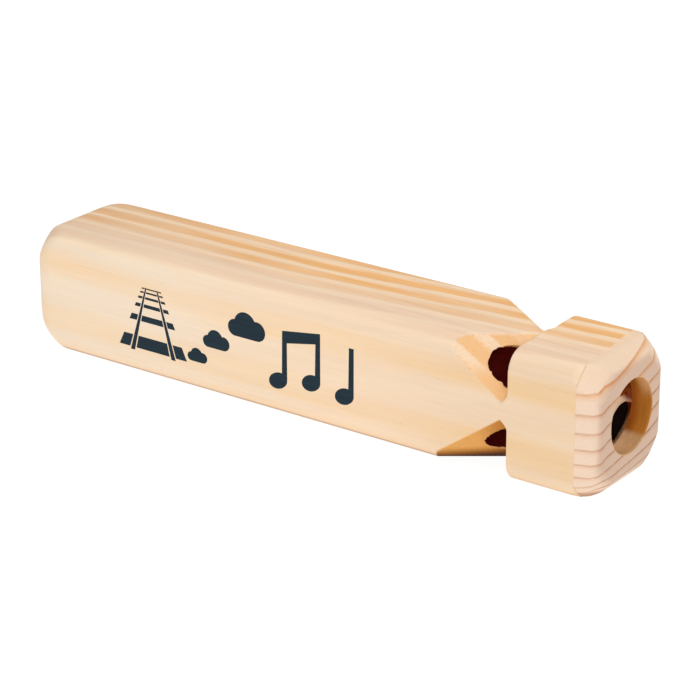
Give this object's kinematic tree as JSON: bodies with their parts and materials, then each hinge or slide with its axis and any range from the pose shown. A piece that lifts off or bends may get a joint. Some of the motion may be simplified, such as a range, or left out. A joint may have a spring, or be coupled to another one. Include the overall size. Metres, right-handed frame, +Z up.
{
  "type": "train whistle",
  "caption": "Square wooden train whistle: a rounded pine block with blind sounding pipes, ramped corner windows, fipple plugs and a glued end cap with a round mouth hole.",
  "frame": {"origin": "middle of the whistle's underside, on the plane it lies on", "axes": "+X along the block towards the mouth end, +Y to the back, +Z up"},
  "size_m": [0.197, 0.038, 0.038],
  "materials": {
    "body_wood": "sanded pine, satin",
    "cap_wood": "sanded pale softwood, satin",
    "plug_wood": "raw dowel"
  },
  "bodies": {
    "root": {"body_block": "body_wood", "mouthpiece_cap": "cap_wood", "fipple_plug_1": "plug_wood", "fipple_plug_2": "plug_wood", "fipple_plug_3": "plug_wood", "fipple_plug_4": "plug_wood"}
  },
  "joints": []
}
